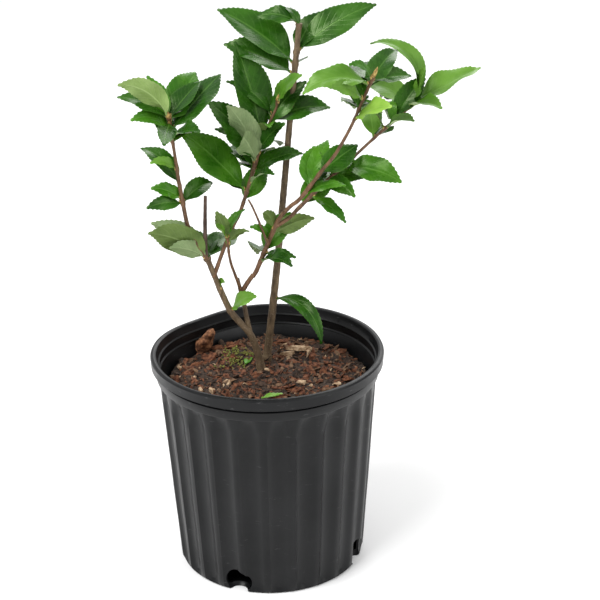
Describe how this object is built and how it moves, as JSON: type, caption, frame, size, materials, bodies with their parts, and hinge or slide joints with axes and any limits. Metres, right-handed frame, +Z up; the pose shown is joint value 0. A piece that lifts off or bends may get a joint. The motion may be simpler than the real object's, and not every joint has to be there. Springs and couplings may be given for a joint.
{
  "type": "potted camellia shrub",
  "caption": "Young multi-stemmed camellia shrub with glossy toothed evergreen leaves, rooted in bark mix in a fluted black plastic nursery pot.",
  "frame": {"origin": "centre of the pot's flat underside, on the surface the pot stands on", "axes": "+Z up along the pot's axis, -Y towards the front, +X to the right seen from the front"},
  "size_m": [0.2531, 0.1698, 0.4095],
  "materials": {
    "pot_plastic": "satin black plastic with fine scuffs on the rim and ridges",
    "potting_mix": "coarse damp pine bark chips with a few pale flecks and a little moss",
    "bark": "thin grey-brown bark, lightly cracked, with leaf scars",
    "young_bark": "smooth red-brown bark of young shoots",
    "leaves": "glossy leathery green above and paler matt yellow-green below"
  },
  "bodies": {
    "root": {"pot": "pot_plastic", "potting_mix": "potting_mix", "main_stem": "bark", "left_stem": "bark", "left_bough": "bark", "middle_stem": "bark", "dead_stub": "bark", "left_shoot": "young_bark", "left_shoot_top": "young_bark", "centre_shoot": "young_bark", "centre_shoot_top": "young_bark", "left_twig": "young_bark", "middle_bough": "young_bark", "right_fork": "young_bark", "inner_bough": "young_bark", "outer_bough": "young_bark", "outer_bough_top": "young_bark", "link_twig": "young_bark", "left_crown_leaves": "leaves", "left_side_leaves": "leaves", "left_low_leaves": "leaves", "centre_leaves": "leaves", "centre_tip_leaves": "leaves", "top_leaves": "leaves", "inner_leaves": "leaves", "centre_low_leaves": "leaves", "right_inner_leaves": "leaves", "right_low_leaves": "leaves", "right_crown_leaves": "leaves", "right_tip_leaves": "leaves", "foot_leaves": "leaves", "strap_leaf": "leaves"}
  },
  "joints": []
}
